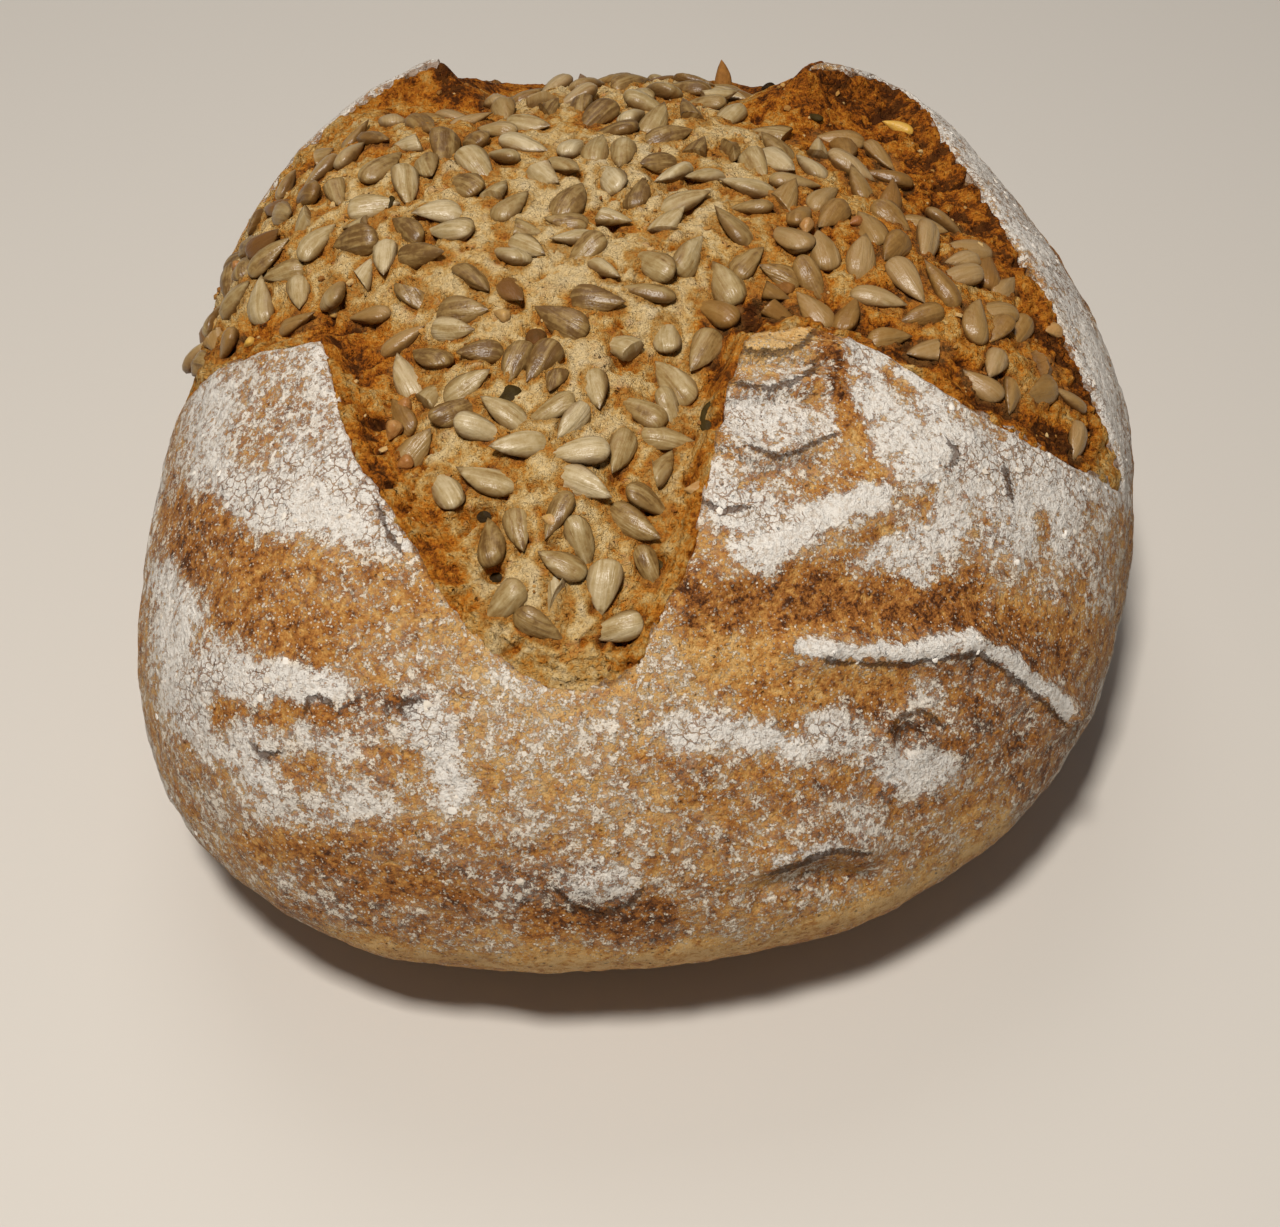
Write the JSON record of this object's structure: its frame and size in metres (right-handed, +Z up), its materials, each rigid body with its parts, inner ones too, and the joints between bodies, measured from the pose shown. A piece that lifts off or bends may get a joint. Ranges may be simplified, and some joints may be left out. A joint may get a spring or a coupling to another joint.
{
  "type": "bread loaf",
  "caption": "Round floured hearth loaf, torn open along a cross-shaped score, with sunflower kernels baked into the open crumb.",
  "frame": {"origin": "middle of the loaf's outline, on the surface it rests on", "axes": "+Z up from the flat base; -Y towards the front, where the scored arm runs down the side; +X to the right seen from the front"},
  "size_m": [0.1949, 0.2098, 0.1086],
  "materials": {
    "crust": "matt baked crust, golden brown under white flour",
    "crumb": "matt torn crumb, browned at its edges",
    "kernel": "satin grey-beige sunflower kernel",
    "dark_seed": "satin dark seed",
    "flour": "matt white flour"
  },
  "bodies": {
    "root": {"loaf": "crust"}
  },
  "joints": []
}
